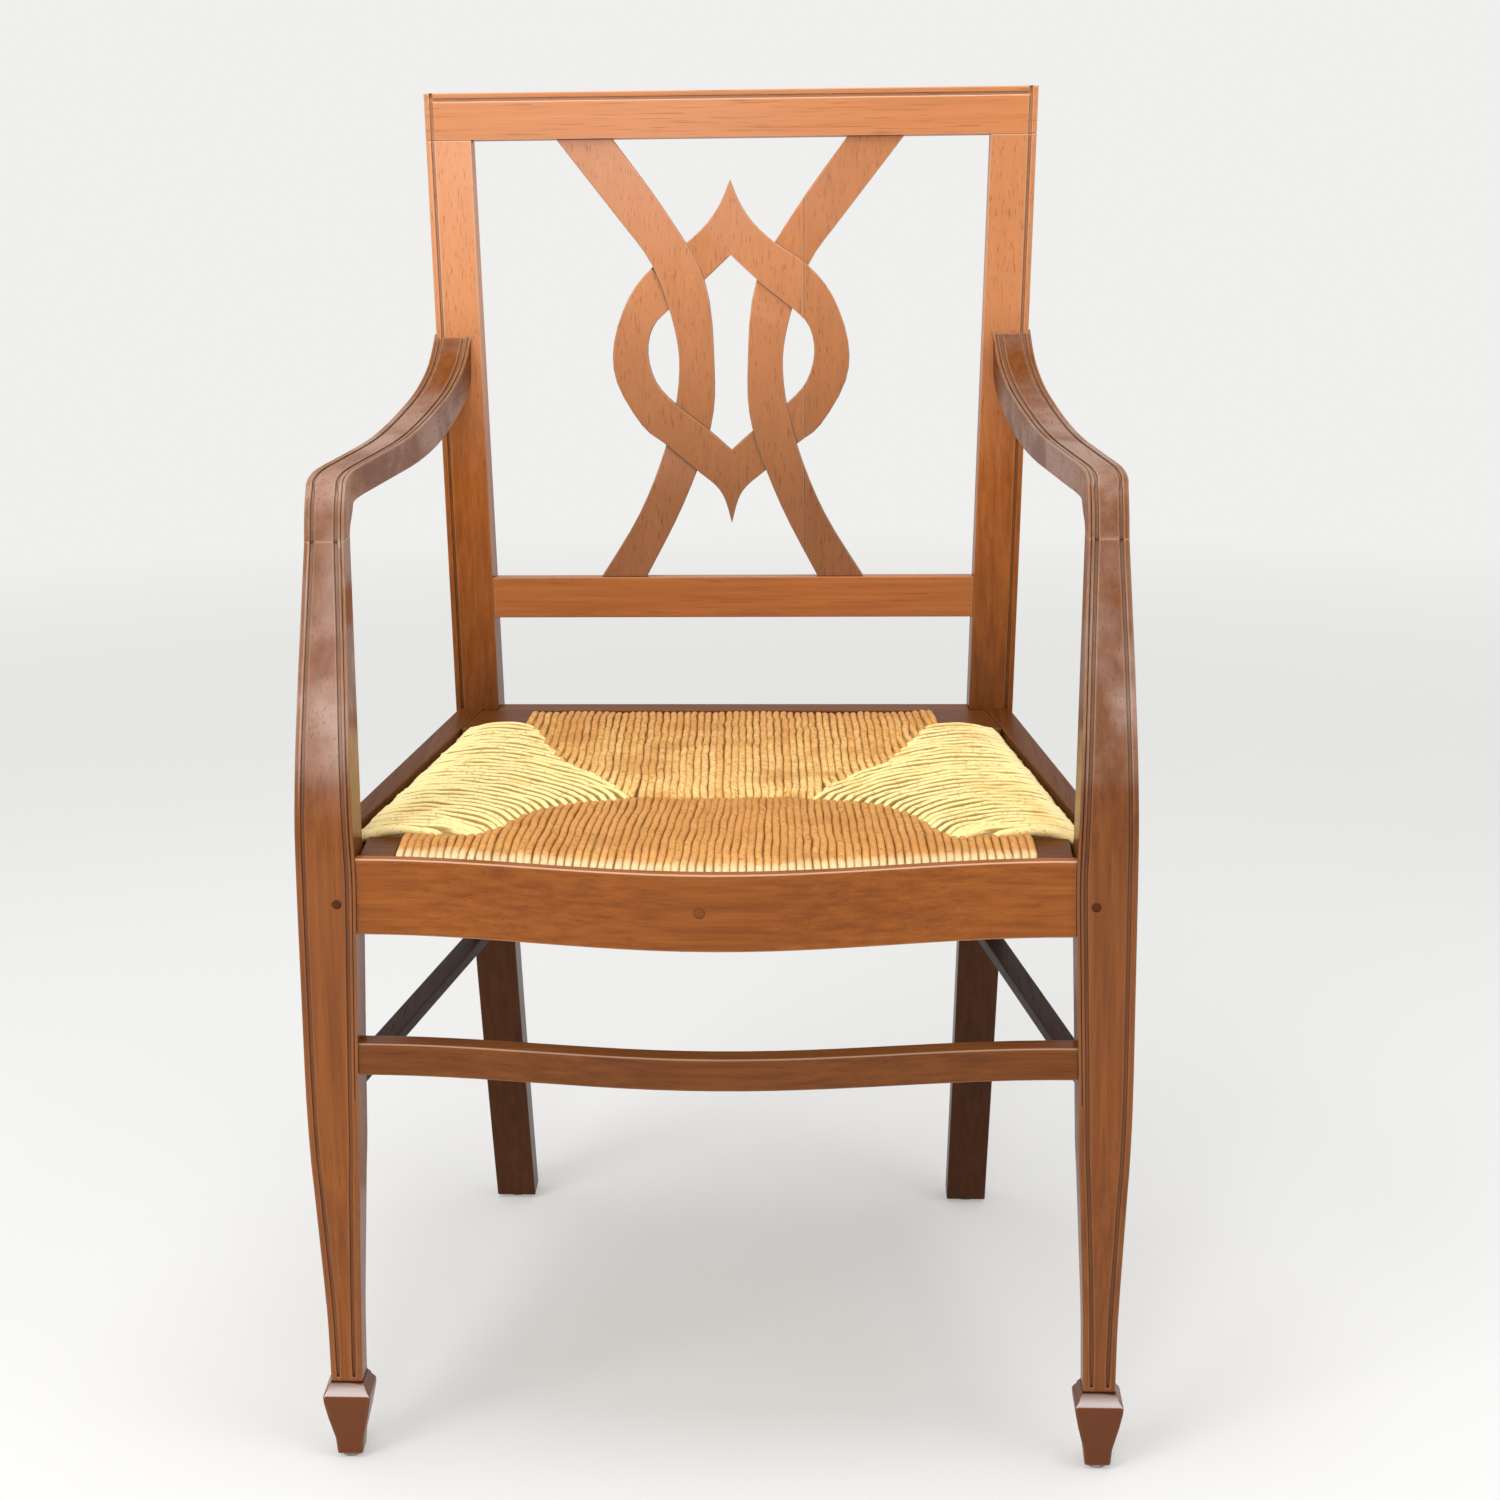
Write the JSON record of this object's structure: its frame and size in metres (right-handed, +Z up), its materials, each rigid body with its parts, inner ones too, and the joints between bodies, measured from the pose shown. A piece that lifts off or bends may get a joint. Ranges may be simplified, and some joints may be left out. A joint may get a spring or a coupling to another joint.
{
  "type": "rush seat armchair",
  "caption": "Open armchair with a fretted interlaced splat, scrolled-down arms, serpentine seat front, lift-out rush seat, stretchers and spade front feet.",
  "frame": {"origin": "on the floor, under the middle of the chair's footprint", "axes": "+Z up, the chair faces -Y, +X is to the right seen from the front"},
  "size_m": [0.5528, 0.5231, 0.918],
  "materials": {
    "frame_wood": "semi-gloss",
    "splat_wood": "semi-gloss",
    "inner_wood": "satin",
    "rush_straw": "matt",
    "rush_tan": "matt",
    "steel": "satin"
  },
  "bodies": {
    "chair": {"rear_post_left": "frame_wood", "rear_post_right": "frame_wood", "crest_rail": "frame_wood", "lower_back_rail": "frame_wood", "splat_main_board": "splat_wood", "splat_edge_board": "splat_wood", "arm_left": "frame_wood", "arm_right": "frame_wood", "front_leg_left": "frame_wood", "front_leg_right": "frame_wood", "front_seat_rail": "frame_wood", "rear_seat_rail": "frame_wood", "side_seat_rail_left": "frame_wood", "side_seat_rail_right": "frame_wood", "front_stretcher": "frame_wood", "side_stretcher_left": "frame_wood", "side_stretcher_right": "frame_wood", "corner_block_front_left": "inner_wood", "corner_block_front_right": "inner_wood", "corner_block_rear_left": "inner_wood", "corner_block_rear_right": "inner_wood", "corner_block_screws": "steel", "front_joint_pegs": "inner_wood", "front_rail_plug": "inner_wood", "arm_dowels": "inner_wood", "arm_screws": "steel", "arm_screw_plugs": "inner_wood", "front_glides": "steel", "rear_glides": "steel"},
    "seat": {"seat_frame_front": "inner_wood", "seat_frame_back": "inner_wood", "seat_frame_left": "inner_wood", "seat_frame_right": "inner_wood", "rush_front": "rush_tan", "rush_back": "rush_tan", "rush_left": "rush_straw", "rush_right": "rush_straw"}
  },
  "joints": [
    {"name": "seat_lift", "type": "slide", "parent": "chair", "child": "seat", "axis": [0, 0, 1], "range_m": [0, 0.06]}
  ]
}
